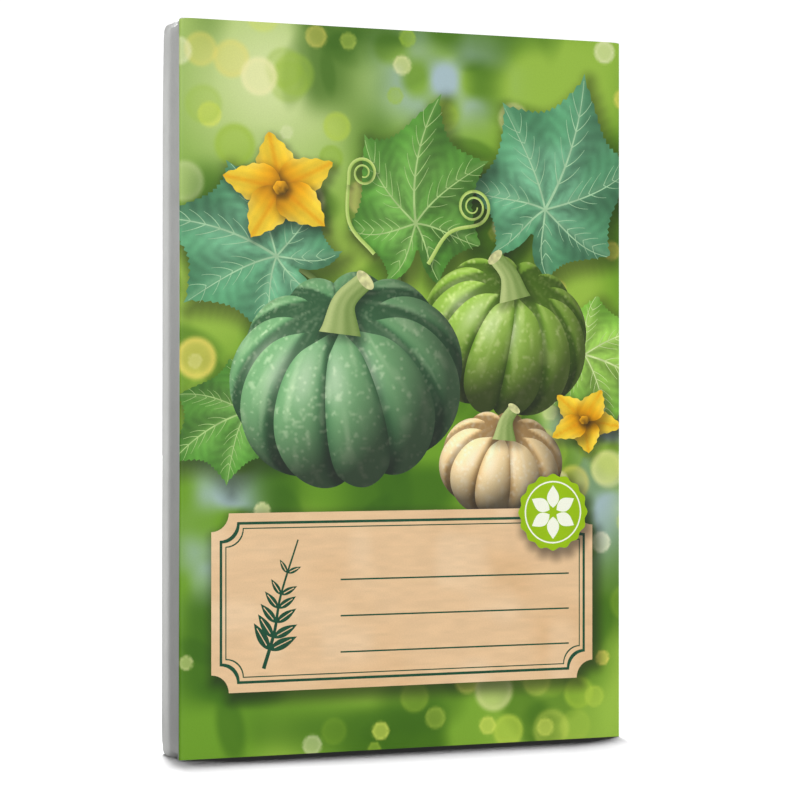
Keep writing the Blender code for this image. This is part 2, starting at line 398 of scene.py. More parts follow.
def heading(angle):
    # steps of length 1 at these angles
    return np.c_[np.cos(angle), np.sin(angle)]


def bladeOf(t, wide):
    # both sides of a leaf or petal along x
    return np.r_[np.c_[t, wide], np.c_[t, -wide][::-1][1:-1]]


def ribbon(path, widths):
    path = np.asarray(path, float)
    way = np.gradient(path, axis=0)
    way /= np.linalg.norm(way, axis=1)[:, None] + 1e-9
    across = np.c_[-way[:, 1], way[:, 0]] * (np.asarray(widths) / 2)[:, None]
    return np.r_[path + across, (path - across)[::-1]]


def curveThrough(points, steps):
    points = np.asarray(points, float)
    padded = np.r_[[2 * points[0] - points[1]], points, [2 * points[-1] - points[-2]]]
    out = []
    for a, b, c, d in zip(padded, padded[1:], padded[2:], padded[3:]):
        for t in np.linspace(0, 1, steps, endpoint=False):
            bend = (2 * a - 5 * b + 4 * c - d) * t * t + (3 * b - a - 3 * c + d) * t ** 3
            out.append(0.5 * (2 * b + (c - a) * t + bend))
    return np.array(out + [points[-1]])


def sidesOf(outline):
    return outline, np.roll(outline, -1, axis=0)


def distanceTo(points, outline):
    start, end = sidesOf(outline)
    side = end - start
    best = np.full(len(points), 1e9)
    for a, s in zip(start, side):
        t = np.clip(((points - a) @ s) / (s @ s + 1e-12), 0, 1)
        best = np.minimum(best, ((points - a - t[:, None] * s) ** 2).sum(1))
    return np.sqrt(best)


def covered(points, outline):
    # which points lie inside, counted by how often the outline winds round them
    inside = ((points >= outline.min(0)) & (points <= outline.max(0))).all(1)
    near = np.nonzero(inside)[0]
    some = points[near]
    turns = np.zeros(len(near), int)
    for (x0, z0), (x1, z1) in zip(*sidesOf(outline)):
        side = (x1 - x0) * (some[:, 1] - z0) - (some[:, 0] - x0) * (z1 - z0)
        turns += ((z0 <= some[:, 1]) & (z1 > some[:, 1]) & (side > 0)).astype(int)
        turns -= ((z1 <= some[:, 1]) & (z0 > some[:, 1]) & (side < 0)).astype(int)
    inside[near] = turns != 0
    return inside


def flatPaint(code):
    return lambda points: np.tile(hexColour(code), (len(points), 1))


def grainPaint(code, low, depth, size, seed):
    # one colour in soft patches of more or less light
    return lambda points: np.clip(hexColour(code) * (low + depth * cloud(points, size, seed))[:, None], 0, 1)


# from the bottom up: an outline, how it is coloured, and the shadow that it casts, which has two
# steps aside and up, a blur and a strength
layers = []


def addLayer(outline, paint, shadow=None):
    layers.append({"outline": np.asarray(outline, float), "paint": paint, "shadow": shadow})


# drawn things are lit from the upper left, and shine where they face halfway between lamp and eye
lamp = np.array([-0.50, 0.58, 0.64])
lamp /= np.linalg.norm(lamp)
halfway = lamp + [0, 0, 1]
halfway /= np.linalg.norm(halfway)


# a garden out of focus: soft foliage, a light gap at the top, a blue-grey one, and discs of light
garden = {
    "seed": 5,
    "discs": 190,
    "discTones": ["D6E062", "B4CC48", "9CBD3A", "F0EDB0", "F6F2D2", "F2DC6A", "8CB032"],
    "shades": 80,
    "base": "6B9A26",
    "light": "9DBF48",
    "dark": "2F5A0A",
    "gap": "E6EEB4",
    "sky": "A9BFCB",
    # places with their widths and heights: where discs gather, where the light comes in and the sky
    "clearings": ((-30, 140, 30, 30), (38, 70, 16, 40), (30, 6, 30, 9)),
    "gapPlace": (-32, 148, 27, 26),
    "skies": ((45, 60, 11, 20), (-44, 50, 9, 14), (8, 150, 14, 10)),
}


def spotAt(x, z, place, power):
    # 1 at its middle, fading out over its width and height
    cx, cz, wide, high = place
    return np.exp(-(np.abs((x - cx) / wide) ** power) - np.abs((z - cz) / high) ** power)


def makeGarden():
    draw = np.random.default_rng(garden["seed"])
    discs = []
    for _ in range(garden["discs"]):
        x, z = draw.uniform(-56, 56), draw.uniform(0, 165)
        clearing = sum(spotAt(x, z, place, 2) for place in garden["clearings"])
        size, strength = draw.uniform(1.6, 5.0), draw.uniform(0.3, 0.85)
        tone = garden["discTones"][draw.integers(len(garden["discTones"]))]
        if draw.random() < 0.28 + clearing:
            discs.append((x, z, size, tone, strength))
    shades = []
    for _ in range(garden["shades"]):
        x, z = draw.uniform(-56, 56), draw.uniform(0, 165)
        shades.append((x, z, draw.uniform(5, 14), draw.uniform(0.35, 1.9), draw.uniform(0, math.pi),
                       draw.uniform(0.15, 0.5)))

    def paint(points):
        x, z = points.T
        colour = blend(garden["base"], garden["light"], ease(0.3, 0.75, cloud(points, 22, 1)) * 0.85)
        colour = blend(colour, garden["gap"], spotAt(x, z, garden["gapPlace"], 2) * 0.85)
        colour = blend(colour, garden["dark"], ease(0.5, 0.9, cloud(points, 13, 2)) * 0.7)
        for cx, cz, r, flat, turn, strength in shades:
            away = turned(points - [cx, cz], -turn) * [1, 1 + flat]
            shade = 1 - ease(r * 0.5, r, np.hypot(*away.T))
            colour = blend(colour, garden["dark"], strength * shade)
        for place in garden["skies"]:
            sky = spotAt(x, z, place, 3) * ease(0.2, 0.6, cloud(points, 7, 9))
            colour = blend(colour, garden["sky"], sky * 0.95)
        for cx, cz, r, tone, strength in discs:
            d = np.hypot(x - cx, z - cz)
            rim = 0.75 + 0.25 * np.exp(-((d - r * 0.85) / (r * 0.18)) ** 2)
            colour = blend(colour, tone, strength * rim * (1 - ease(r * 0.80, r * 1.10, d)))
        return colour
    return paint


# ribbed squashes, drawn lobe by lobe from the far side to the near one
squashes = [
    {"place": (24, 92), "radius": 21, "flat": 0.80, "tilt": 30, "turn": -14, "lobes": 12, "first": 0.1,
     "skin": "8FB447", "groove": "55801C", "fleck": "D8E79A", "seed": 61,
     "stalk": [(0, -1.5), (-1.5, 4), (-5, 8)], "stalkWidth": (8, 3.6)},
    {"place": (-14, 82), "radius": 28, "flat": 0.76, "tilt": 34, "turn": 10, "lobes": 11, "first": 0.28,
     "skin": "76A873", "groove": "3C6F45", "fleck": "CFE5B9", "seed": 51,
     "stalk": [(0, -2), (1, 5), (6, 10)], "stalkWidth": (10, 4.4)},
    {"place": (23, 63), "radius": 15.5, "flat": 0.70, "tilt": 28, "turn": -6, "lobes": 10, "first": 0.2,
     "skin": "F2D7A4", "groove": "CFA263", "fleck": "FFF3D8", "seed": 71,
     "stalk": [(0, -1.2), (0.5, 3), (2.5, 6)], "stalkWidth": (6, 2.8)},
]


def makeSquash(look):
    place, radius, flat = np.array(look["place"], float), look["radius"], look["flat"]
    tilt, turn = math.radians(look["tilt"]), math.radians(look["turn"])
    c, s = math.cos(tilt), math.sin(tilt)
    half = math.pi / look["lobes"]

    def toPrint(lon, lat, swell):
        # a point of the skin, seen from in front and a little above
        sink = 1 - 0.30 * np.clip(np.sin(lat), 0, 1) ** 10
        out = radius * swell * np.cos(lat) ** 0.9
        x, y, z = out * np.sin(lon), out * np.cos(lon), flat * radius * swell * np.sin(lat) * sink
        return np.stack([x, z * c - y * s], -1), y * c + z * s

    def paintLobe(middle):
        def paint(points):
            x, up = turned(points - place, -turn).T
            high = flat * radius
            a = c * c / radius ** 2 + s * s / high ** 2
            b = 2 * up * s * c * (1 / high ** 2 - 1 / radius ** 2)
            k = x * x / radius ** 2 + up * up * (s * s / radius ** 2 + c * c / high ** 2) - 1
            depth = (-b + np.sqrt(np.maximum(b * b - 4 * a * k, 0))) / (2 * a)
            y, z = -up * s + depth * c, up * c + depth * s
            lon, lat = np.arctan2(x, y), np.arctan2(z / flat ** 2, np.hypot(x, y))
            across = (lon - middle + math.pi) % (2 * math.pi) - math.pi
            across = np.clip(across / half, -1.25, 1.25)
            facing = lon + across * half * 1.9
            normal = np.stack([np.cos(lat) * np.sin(facing), np.cos(lat) * np.cos(facing), np.sin(lat)], 1)
            seen = np.stack([normal[:, 0], normal[:, 2] * c - normal[:, 1] * s,
                             normal[:, 1] * c + normal[:, 2] * s], 1)
            lit, shine = np.clip(seen @ lamp, 0, 1), np.clip(seen @ halfway, 0, 1) ** 28
            skin = np.stack([lon * radius, lat * radius], 1)
            colour = blend(look["skin"], look["groove"], ease(0.5, 1.1, np.abs(across)) * 0.85)
            streak = cloud(skin * [1, 0.25], radius * 0.07, look["seed"])
            colour = blend(colour, look["fleck"], ease(0.55, 0.9, streak) * 0.35)
            dots = cloud(skin, radius * 0.035, look["seed"] + 1)
            colour = blend(colour, look["fleck"], ease(0.72, 0.9, dots) * 0.5)
            pole = np.exp(-((lat - math.pi / 2) / 0.28) ** 2)
            colour = blend(colour, look["groove"], pole * 0.5)
            low = ease(0.1, -1.0, up / radius)
            colour = colour * (0.46 + 0.70 * lit - 0.14 * low)[:, None]
            colour = colour * (1 - 0.30 * ease(0.78, 1.15, np.abs(across)))[:, None]
            return np.clip(blend(colour, np.array([1, 1, 0.93]), shine * 0.40), 0, 1)
        return paint

    middles = look["first"] + (2 * np.arange(look["lobes"]) + 1) * half
    for middle in sorted(middles, key=math.cos):
        lon, lat = np.meshgrid(np.linspace(-1, 1, 15), np.linspace(-1.25, 1.5, 45))
        spots, depth = toPrint(middle + lon * half, lat, 1 - 0.09 * lon ** 2)
        seen = spots[depth > -radius * 0.35]
        if len(seen) > 12:
            hull = convex_hull_2d([Vector(spot) for spot in seen])
            addLayer(turned(seen[hull], turn) + place, paintLobe(middle))
    pole = turned(toPrint(0.0, math.pi / 2, 1.0)[0][None], turn)[0] + place
    makeStalk([pole + step for step in look["stalk"]], *look["stalkWidth"])


# stalks, stems and tendrils are strips along a path, lit across their width

def stripPaint(path, widths, dark, pale, ridges=0.0):
    path = np.asarray(path, float)

    def paint(points):
        best = np.full(len(points), 1e9)
        across = np.zeros(len(points))
        for a, b, width in zip(path, path[1:], widths):
            side = b - a
            t = np.clip(((points - a) @ side) / (side @ side + 1e-9), 0, 1)
            away = points - a - t[:, None] * side
            far = (away ** 2).sum(1)
            near = far < best
            best[near] = far[near]
            across[near] = ((away @ [-side[1], side[0]]) / (np.hypot(*side) * width / 2 + 1e-9))[near]
        lit = np.clip(0.62 + 0.38 * across + 0.12 * np.cos(across * ridges), 0, 1)
        return blend(dark, pale, lit)
    return paint


def addStrip(path, widths, dark, pale, shadow, ridges=0.0):
    addLayer(ribbon(path, widths), stripPaint(path, widths, dark, pale, ridges), shadow)


stalk = {"dark": "55742E", "pale": "B9C882", "cut": "CFCF94"}


def makeStalk(points, startWidth, endWidth):
    path = curveThrough(points, 8)
    t = np.linspace(0, 1, len(path))
    widths = endWidth + (startWidth - endWidth) * (1 - t) ** 2.2
    widths[-1] *= 1.15
    addStrip(path, widths, stalk["dark"], stalk["pale"], (0.6, -0.8, 2.2, 0.35), 9.0)
    way = path[-1] - path[-2]
    t = np.linspace(0, 2 * math.pi, 28, endpoint=False)
    disc = heading(t) * [0.30 * endWidth, 0.60 * endWidth]
    addLayer(turned(disc, math.atan2(way[1], way[0])) + path[-1], grainPaint(stalk["cut"], 0.85, 0.3, 0.7, 5))


tendrils = [
    # points, then how often, how wide and which way round it coils
    ([(5, 108), (10, 115), (17, 117)], 2.2, 4.2, 1),
    ([(-8, 110), (-14, 117), (-14, 128)], 1.8, 3.4, -1),
]
tendrilLook = {
    "width": 0.9,
    "dark": "78A336",
    "pale": "CCE084",
    "strip": 14,       # the coil crosses itself, so it is laid down in strips of this many steps
}


def makeTendril(points, turns, radius, way):
    path = curveThrough(points, 8)
    end, before = path[-1], path[-2]
    ahead = math.atan2(*(end - before)[::-1])
    t = np.linspace(0, turns * 2 * math.pi, int(26 * turns))[1:]
    centre = end + radius * np.array([-math.sin(ahead), math.cos(ahead)]) * way
    coil = (radius * (1 - 0.75 * t / t[-1]))[:, None] * heading(ahead - way * math.pi / 2 + way * t)
    path = np.r_[path, centre + coil]
    widths = tendrilLook["width"] * (1 - 0.65 * np.linspace(0, 1, len(path)))
    step = tendrilLook["strip"]
    for i in range(0, len(path) - 2, step):
        addStrip(path[i:i + step + 1], widths[i:i + step + 1], tendrilLook["dark"], tendrilLook["pale"],
                 (0.5, -0.7, 1.2, 0.25))


# lobed, toothed vine leaves
leafTips = np.radians([0, 48, 98, 148])
leafLengths = np.array([1.0, 0.86, 0.70, 0.50])
leafColours = {
    "teal": {"base": "6BA57F", "edge": "47845A", "vein": "A3CBA0"},
    "green": {"base": "6A9F48", "edge": "417A26", "vein": "ABCB80"},
    "light": {"base": "90BC50", "edge": "5D962D", "vein": "CDE09A"},
    "stem": ("5E8A34", "AFCB74"),
}
leaves = [
    # stem from its foot to the blade, size, turn in degrees, bend, width, seed and colours
    ([(16, 100), (24, 112), (34, 121)], 33, 58, 0.25, 0.86, 3, "teal"),
    ([(-2, 100), (-2, 108), (2, 117)], 30, 98, -0.35, 0.80, 4, "green"),
    ([(-16, 96), (-22, 104), (-31, 109)], 30, 148, 0.3, 0.85, 5, "teal"),
    ([(30, 92), (38, 92), (44, 88)], 24, -12, -0.3, 0.85, 6, "light"),
    ([(-28, 80), (-34, 79), (-38, 75)], 21, 196, 0.3, 0.85, 7, "green"),
]


def leafReach(angle):
    # how far the blade reaches at an angle from its middle vein, as a share of its length
    angle = np.abs(angle)
    reach = np.zeros_like(angle)
    for k in range(3):
        t = (angle - leafTips[k]) / (leafTips[k + 1] - leafTips[k])
        length = leafLengths[k] + (leafLengths[k + 1] - leafLengths[k]) * t
        waist = 1 - 0.24 * np.sin(math.pi * np.clip(t, 0, 1)) ** 0.75
        reach = np.where((t >= 0) & (t < 1), length * waist, reach)
    t = np.clip((angle - leafTips[3]) / (math.pi - leafTips[3]), 0, 1)
    return np.where(angle >= leafTips[3], leafLengths[3] * (1 - t) ** 0.55 + 0.04, reach)


def makeLeaf(stem, size, turn, bend, narrow, seed, look):
    place, turn, look = np.array(stem[-1], float), math.radians(turn), leafColours[look]

    def toPrint(local):
        return place + turned(local * [1, narrow], turn + bend * np.hypot(*local.T) / size)

    def toLeaf(points):
        out = points - place
        for _ in range(3):
            out = turned(points - place, -(turn + bend * np.hypot(*out.T) / size)) / [1, narrow]
        return out

    def paint(points):
        local = toLeaf(points)
        r, angle = np.hypot(*local.T) / size, np.arctan2(local[:, 1], local[:, 0])
        side = np.abs(angle)
        k = np.clip(np.searchsorted(leafTips, side) - 1, 0, 2)
        t = np.clip((side - leafTips[k]) / (leafTips[k + 1] - leafTips[k]), 0, 1.2)
        toVein = np.minimum(t, np.abs(1 - t))
        colour = blend(look["base"], look["edge"], ease(0.45, 1.0, r / leafReach(angle)) * 0.6)
        colour = blend(colour, look["edge"], ease(0.4, 0.9, cloud(points, size * 0.28, seed)) * 0.45)
        roll = np.sin(2 * math.pi * t) * np.sign(angle)          # the blade swells between its veins
        quilt = np.cos(2 * math.pi * (r * 8.5 - toVein * 3.2)) * ease(0.03, 0.2, toVein)
        fold = np.sign(angle) * ease(0, 0.25, np.abs(local[:, 1]) / size)
        fine = cloud(points, 0.9, seed + 2) - 0.5
        colour = colour * (0.97 + 0.12 * roll + 0.05 * quilt + 0.07 * fold + 0.08 * fine)[:, None]
        colour = blend(colour, look["vein"], np.exp(-(toVein * r / 0.022) ** 2) * 0.25)
        return np.clip(colour, 0, 1)

    path, widths = curveThrough(stem, 8), np.linspace(1.5, 1.1, 17)
    addStrip(path, widths, *leafColours["stem"], (0.5, -0.8, 1.6, 0.25))
    angles = np.radians(np.arange(-176, 176.1, 2.0))
    teeth = 1 - 0.030 * (np.arange(len(angles)) % 2)         # every second point lies back
    reach = leafReach(angles) * teeth * size
    addLayer(toPrint(heading(angles) * reach[:, None]), paint, (1.2, -1.8, 4.0, 0.42))

    draw = np.random.default_rng(seed)
    veinPaint = grainPaint(look["vein"], 0.90, 0.16, 2.0, seed)
    for tip, length in zip(np.r_[leafTips, -leafTips[1:]], np.r_[leafLengths, leafLengths[1:]]):
        t = np.linspace(0.0, 0.95, 14)
        wander = tip * (1 + 0.05 * np.sin(t * 3))
        thick = size * (0.018 if tip == 0 else 0.013)
        main = heading(wander) * (t * length * size)[:, None]
        addLayer(ribbon(toPrint(main), thick * (1 - 0.85 * t) + 0.04), veinPaint)
        count = 5 if length > 0.6 else 3
        for j in range(count):
            at = 0.22 + 0.62 * j / count + draw.uniform(-0.02, 0.02)
            for way in (-1, 1):
                start = heading(tip) * at * length * size
                long = size * length * 0.30 * (1 - 0.45 * at)
                s = np.linspace(0, 1, 6)
                curl = tip + way * (math.radians(44) - 0.45 * s)
                steps = heading(curl) * long / 6
                branch = start + np.cumsum(np.r_[[[0, 0]], steps[:-1]], axis=0)
                addLayer(ribbon(toPrint(branch), thick * 0.38 * (1 - 0.8 * s) + 0.03), veinPaint)


# yellow squash blossoms
blossoms = [
    # place, size, turn, petals, seed and how much of its height it keeps
    ((-30, 124), 13.5, 0.5, 5, 81, 0.9),
    ((44, 73), 9.5, 1.1, 5, 82, 0.8),
]
blossomLook = {
    "throat": "F2A60C", "petal": "FFD83A", "rim": "FFEC86", "crease": "DD8600", "knob": "E8A51B",
    "half": 0.40,       # a petal's half width, as a share of the size
    "knobSize": 0.13,   # the knob's radius, too
}


def makeBlossom(place, size, turn, petals, seed, squash):
    place, half, knobSize = np.array(place, float), blossomLook["half"], size * blossomLook["knobSize"]
    draw = np.random.default_rng(seed)

    def petalPaint(angle):
        def paint(points):
            local = turned((points - place) / [1, squash], -angle)
            t, u = local[:, 0] / size, local[:, 1] / (half * size)
            colour = blend(blossomLook["throat"], blossomLook["petal"], ease(0.12, 0.7, t))
            rim = ease(0.35, 1.0, np.abs(u)) * 0.55 * ease(0.2, 0.6, t)
            colour = blend(colour, blossomLook["rim"], rim)
            colour = blend(colour, blossomLook["crease"], np.exp(-(u / 0.10) ** 2) * 0.5)
            lit = 0.94 + 0.11 * u * math.cos(angle + 1.0) + 0.03 * np.cos(u * 14)
            lit = lit + 0.05 * (cloud(points, 1.2, seed) - 0.5) - 0.28 * np.exp(-(t / 0.16) ** 2)
            return np.clip(colour * lit[:, None], 0, 1)
        return paint

    def knobPaint(points):
        away = (points - place) / knobSize
        lit = 0.75 + 0.25 * (away[:, 1] - away[:, 0]) + 0.35 * (cloud(points, 0.6, seed) - 0.5)
        return np.clip(hexColour(blossomLook["knob"]) * lit[:, None], 0, 1)

    for i in draw.permutation(petals):
        angle = turn + 2 * math.pi * i / petals + draw.uniform(-0.08, 0.08)
        t = np.r_[np.linspace(0, 1, 26), np.linspace(1, 0, 26)[1:]]
        side = np.r_[np.ones(26), -np.ones(25)]
        width = half * np.sin(math.pi * t ** 0.72) ** 0.8 * (1 - 0.25 * t)
        ripple = 0.018 * np.sin(t * 34 + i) * ease(0.2, 0.5, t) * (t < 0.97)
        local = np.c_[t * (1 + 0.05 * draw.random()), side * (width + ripple)] * size
        addLayer(turned(local, angle) * [1, squash] + place, petalPaint(angle), (0.7, -1.0, 2.0, 0.35))
    ring = np.linspace(0, 2 * math.pi, 30, endpoint=False)
    knob = heading(ring) * [1, squash] * (knobSize * (1 + 0.06 * np.cos(6 * ring)))[:, None]
    addLayer(knob + place, knobPaint, shadow=(0.4, -0.6, 1.2, 0.4))


# a plain tan label with ruled lines, an ornament and a round tag
label = {
    "box": (-46, 14, 46, 53),
    "notch": 4.0,
    "rules": ((1.9, 0.6), (3.2, 0.25)),      # distance from the edge, thickness
    "lines": (22, 30, 38),
    "lineEnds": (-16, 40),
    "paper": "E5C297",
    "shade": "D9AF7E",
    "light": "F1D6B2",
    "ink": "11432C",
    "sprig": [(-34, 19), (-31.5, 27), (-30, 35), (-26, 47)],
    "tag": (36, 52, 8.5),
    "tagColour": "97BE0D",
    "tagFlower": "F6F9E6",
}


def ringOf(x, z, r, count=40, wave=0.0, waves=0):
    t = np.linspace(0, 2 * math.pi, count, endpoint=False)
    return heading(t) * (r * (1 + wave * np.cos(waves * t)))[:, None] + [x, z]


def boxOf(x0, z0, x1, z1, inset=0):
    x0, z0, x1, z1 = x0 + inset, z0 + inset, x1 - inset, z1 - inset
    return np.array([(x0, z0), (x1, z0), (x1, z1), (x0, z1)], float)


def notchedBox(x0, z0, x1, z1, r, inset=0):
    # its corners are cut out round, with this radius
    x0, z0, x1, z1 = x0 + inset, z0 + inset, x1 - inset, z1 - inset
    bend = np.linspace(0, 90, 9)
    corners = (x1, z1, 270), (x0, z1, 0), (x0, z0, 90), (x1, z0, 180)
    return np.concatenate([heading(np.radians(start - bend)) * r + [x, z] for x, z, start in corners])


# kraft paper: tan, a little blotchy, with long fibres lying across
def kraftPaint(points):
    colour = blend(label["paper"], label["shade"], ease(0.4, 0.9, cloud(points, 14, 21)) * 0.5)
    colour = blend(colour, label["light"], ease(0.5, 0.95, cloud(points, 7, 22)) * 0.4)
    fibre = cloud(points * [0.35, 1.6], 1.1, 23) - 0.5
    return np.clip(colour * (1 + 0.05 * fibre)[:, None], 0, 1)


inkPaint = grainPaint(label["ink"], 0.9, 0.25, 0.8, 31)
tagPaint = grainPaint(label["tagColour"], 0.97, 0.06, 3, 41)


def makeSprig(points, pairs, length, slots):
    stem = curveThrough(points, 12)
    addLayer(ribbon(stem, np.linspace(0.9, 0.35, len(stem))), inkPaint)
    for i in range(pairs):
        k = 6 + (len(stem) - 9) * i // pairs
        way = stem[k + 1] - stem[k]
        for side in (-1, 1):
            angle = math.atan2(way[1], way[0]) + side * 0.85
            long = length * (1 - 0.10 * i)
            t = np.linspace(0, 1, 12)
            wide = 0.17 * long * np.sin(math.pi * t ** 0.8)
            addLayer(turned(bladeOf(t * long, wide), angle) + stem[k], inkPaint)
            slot = turned(np.c_[np.linspace(0.18, 0.8, 6) * long, np.zeros(6)], angle) + stem[k]
            addLayer(ribbon(slot, np.full(6, 0.2)), slots)


def ruleLine(left, right, z):
    addLayer(ribbon([(left, z), (right, z)], [0.35, 0.35]), inkPaint)


def makeLabel():
    box = (*label["box"], label["notch"])
    addLayer(notchedBox(*box), kraftPaint, shadow=(0.9, -1.3, 3.2, 0.5))
    for gap, thick in label["rules"]:
        addLayer(frameOf(notchedBox(*box, gap), notchedBox(*box, gap + thick)), inkPaint)
    for z in label["lines"]:
        ruleLine(*label["lineEnds"], z)
    makeSprig(label["sprig"], pairs=6, length=7.0, slots=kraftPaint)
    makeTag(*label["tag"])


def frameOf(outer, inner):
    return np.r_[outer, outer[:1], inner[:1], inner[::-1]]


def makeTag(x, z, r):
    # a round tag with a wavy edge, a thin ring and a flower of six petals
    palePaint = flatPaint(label["tagFlower"])
    addLayer(ringOf(x, z, r, 96, 0.035, 16), tagPaint, shadow=(0.8, -1.2, 2.6, 0.45))
    addLayer(frameOf(ringOf(x, z, r * 0.84, 60), ringOf(x, z, r * 0.80, 60)), palePaint)
    for turn in range(6):
        t = np.linspace(0, 1, 12)
        wide = 0.30 * np.sin(math.pi * t ** 0.85)
        petal = bladeOf(t, wide) * r * 0.60 + [r * 0.12, 0]
        addLayer(turned(petal, turn * math.pi / 3 + math.pi / 6) + [x, z], palePaint)


# laying the drawing out on the board

def spaced(path, gap, closed=True):
    out = []
    last = len(path) if closed else len(path) - 1
    for a, b in list(zip(*sidesOf(path)))[:last]:
        count = max(1, int(math.ceil(np.hypot(*(b - a)) / gap)))
        out += [a + (b - a) * i / count for i in range(count)]
    return np.array(out if closed else out + [path[-1]])


def triangles(points, edges, outline, weld):
    # a flat net through these points and along these edges, inside the outline
    spots, _, faces, _, _, _ = delaunay_2d_cdt(points, edges, [], 0, weld)
    spots, faces = np.array([tuple(spot) for spot in spots]), np.array(faces)
    return spots, faces[covered(spots[faces].mean(1), outline)]


def cutAlong(outlines, lines, gap):
    # one net inside the first outline, whose edges follow them all
    points, edges = [], []
    for outline in outlines:
        rim = spaced(outline, gap)
        first, count = len(points), len(rim)
        edges += [(first + i, first + (i + 1) % count) for i in range(count)]
        points += [Vector(spot) for spot in rim]
    for line in lines:
        rim = spaced(line, gap, closed=False)
        edges += [(len(points) + i, len(points) + i + 1) for i in range(len(rim) - 1)]
        points += [Vector(spot) for spot in rim]
    (x0, z0), (x1, z1) = outlines[0].min(0), outlines[0].max(0)
    x, z = np.meshgrid(np.arange(x0 + gap / 2, x1, gap), np.arange(z0 + gap / 2, z1, gap * 0.866))
    x[1::2] += gap / 2
    inside = x < x1 - gap / 4
    points += [Vector(spot) for spot in np.c_[x[inside], z[inside]]]
    return triangles(points, edges, outlines[0], 1e-4)


def inkColours(spots, faces, owner):
    colours = np.zeros((len(faces), 3, 3))
    for k in np.unique(owner):
        mine = owner == k
        used, back = np.unique(faces[mine].ravel(), return_inverse=True)
        here = spots[used]
        shade = layers[k]["paint"](here)
        for later in layers[k + 1:]:
            if not later["shadow"]:
                continue
            dx, dz, blur, strength = later["shadow"]
            rim = later["outline"] + [dx, dz]
            near = ((here > rim.min(0) - blur) & (here < rim.max(0) + blur)).all(1)
            if near.any():
                far = distanceTo(here[near], rim) * np.where(covered(here[near], rim), -1, 1)
                shade[near] *= (1 - strength * ease(blur, -blur * 0.4, far))[:, None]
        colours[mine] = shade[back].reshape(-1, 3, 3)
    return colours


frontPrint = {
    "gap": 0.62,            # mm between the net's points
    "film": 0.02,           # how far ink and varnish stand on the board, here and on the back
    "fold": 0.65,           # outer radius of the upright folds
    "wraps": [(0, 1.02), (22, 0.92), (60, 0.72), (110, 0.70), (160, 0.86)],  # height, reach round the fold
    "lipCorner": 0.8,       # how far the top edge drops over the whole fold
    "shoulder": (2.4, 0.16),    # and before it, over this width by this much
}


def lipDrop(past):
    # how far the top edge lies below its middle, this far past the start of the fold
    width, drop = frontPrint["shoulder"]
    turn = max(past, 0.0) / (frontPrint["fold"] * math.pi / 2)
    slope = drop * max(0.0, 1 + min(past, 0.0) / width) ** 2
    return slope + frontPrint["lipCorner"] * (1 - math.sqrt(1 - turn * turn))


def wrapAt(z):
    return float(np.interp(z, *zip(*frontPrint["wraps"])))


def frontOutline():
    # flat, with the fold's arc laid out flat
    half, top = sideFace / mm - frontPrint["fold"], packetTop / mm
    wrap = wrapAt(top)
    border = [(half + wrapAt(z), z) for z in np.linspace(0, top - 2.0, 30)]
    past = [step * wrap for step in (1.0, 0.85, 0.67, 0.5, 0.33, 0.0)] + [-0.6, -1.2, -1.8, -2.4]
    corner = [(half + step, top - lipDrop(step)) for step in past]
    right = border + corner
    return np.array(right + [(-x, z) for x, z in reversed(right)])


def ontoFront(spots, out):
    # wraps flat millimetres round the front and its two folds, this far off the board
    look = frontPrint
    half = sideFace / mm - look["fold"]
    arc = np.clip((np.abs(spots[:, 0]) - half) / look["fold"], 0, math.pi / 2)
    radius = look["fold"] + out
    x = np.sign(spots[:, 0]) * (np.minimum(np.abs(spots[:, 0]), half) + radius * np.sin(arc))
    y = frontFace / mm + look["fold"] - radius * np.cos(arc)
    return np.c_[x, y, spots[:, 1]] * mm


# the strips that a sheet's drawn face, plain back and rim take up on its bake map, from its foot up
sheetMap = {"plain": (0.004, 0.018), "rim": (0.022, 0.030), "drawn": (0.045, 0.995)}


def ontoMap(spots, outline, strip):
    low, high = outline.min(0), outline.max(0)
    flat = (spots - low) / (high - low)
    flat[:, 1] = strip[0] + (strip[1] - strip[0]) * flat[:, 1]
    return flat


